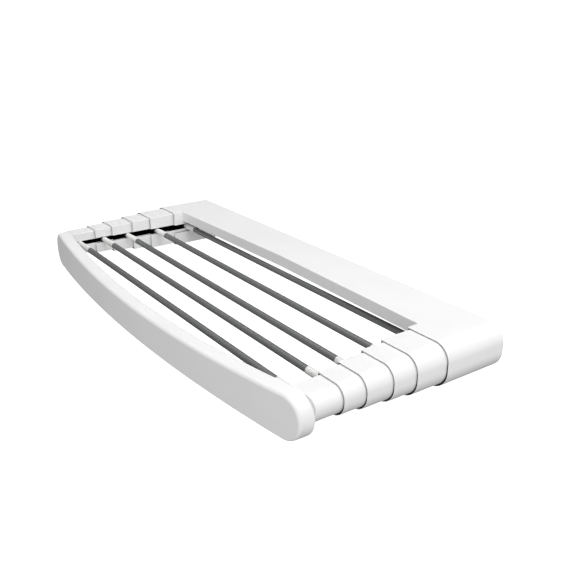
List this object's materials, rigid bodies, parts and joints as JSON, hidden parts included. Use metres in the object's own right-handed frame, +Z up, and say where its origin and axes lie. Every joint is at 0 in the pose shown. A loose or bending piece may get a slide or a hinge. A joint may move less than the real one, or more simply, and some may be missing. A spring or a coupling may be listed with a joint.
{
  "type": "wall mounted drying rack",
  "caption": "Pull-out wall drying rack: a white housing, two arms of nested sleeves that slide out, dark rods across and a bowed front bar.",
  "frame": {"origin": "middle of the wall plate's back face, which lies on the wall", "axes": "+X to the rack's right seen from the room, +Y into the wall, +Z up; the rack reaches out along -Y"},
  "size_m": [1, 0.439, 0.0885],
  "materials": {
    "housing_white": "fine satin moulded surface",
    "sleeve_white": "fine satin moulded surface, dark inside",
    "bar_white": "fine satin moulded surface",
    "ferrule_white": "ribbed moulded surface",
    "runner_black": "matt moulded surface",
    "rod_grey": "dark grey powder coat",
    "plate_steel": "light grey powder coat",
    "screw_zinc": "bright zinc plate"
  },
  "bodies": {
    "root": {"housing": "housing_white", "wall_plate": "plate_steel", "wall_screw_1": "screw_zinc", "wall_screw_2": "screw_zinc", "wall_screw_3": "screw_zinc", "wall_screw_4": "screw_zinc", "housing_screw_left": "screw_zinc", "housing_screw_right": "screw_zinc"},
    "stage_1": {"left_sleeve_1": "sleeve_white", "right_sleeve_1": "sleeve_white", "rod_5": "rod_grey", "left_ferrule_5": "ferrule_white", "right_ferrule_5": "ferrule_white", "left_runner_5": "runner_black", "right_runner_5": "runner_black"},
    "stage_2": {"left_sleeve_2": "sleeve_white", "right_sleeve_2": "sleeve_white", "rod_4": "rod_grey", "left_ferrule_4": "ferrule_white", "right_ferrule_4": "ferrule_white", "left_runner_4": "runner_black", "right_runner_4": "runner_black"},
    "stage_3": {"left_sleeve_3": "sleeve_white", "right_sleeve_3": "sleeve_white", "rod_3": "rod_grey", "left_ferrule_3": "ferrule_white", "right_ferrule_3": "ferrule_white", "left_runner_3": "runner_black", "right_runner_3": "runner_black"},
    "stage_4": {"left_sleeve_4": "sleeve_white", "right_sleeve_4": "sleeve_white", "rod_2": "rod_grey", "left_ferrule_2": "ferrule_white", "right_ferrule_2": "ferrule_white", "left_runner_2": "runner_black", "right_runner_2": "runner_black"},
    "stage_5": {"left_sleeve_5": "sleeve_white", "right_sleeve_5": "sleeve_white", "rod_1": "rod_grey", "left_ferrule_1": "ferrule_white", "right_ferrule_1": "ferrule_white", "left_runner_1": "runner_black", "right_runner_1": "runner_black", "front_bar": "bar_white", "front_bar_back": "bar_white", "left_bracket": "runner_black", "right_bracket": "runner_black", "front_screw_1": "screw_zinc", "front_screw_2": "screw_zinc", "front_screw_3": "screw_zinc", "front_screw_4": "screw_zinc"}
  },
  "joints": [
    {"name": "slide_1", "type": "slide", "parent": "root", "child": "stage_1", "axis": [0, 1, 0], "range_m": [0, 0.062]},
    {"name": "slide_2", "type": "slide", "parent": "stage_1", "child": "stage_2", "axis": [0, 1, 0], "range_m": [0, 0.045]},
    {"name": "slide_3", "type": "slide", "parent": "stage_2", "child": "stage_3", "axis": [0, 1, 0], "range_m": [0, 0.05]},
    {"name": "slide_4", "type": "slide", "parent": "stage_3", "child": "stage_4", "axis": [0, 1, 0], "range_m": [0, 0.04]},
    {"name": "slide_5", "type": "slide", "parent": "stage_4", "child": "stage_5", "axis": [0, 1, 0], "range_m": [0, 0.044]}
  ]
}
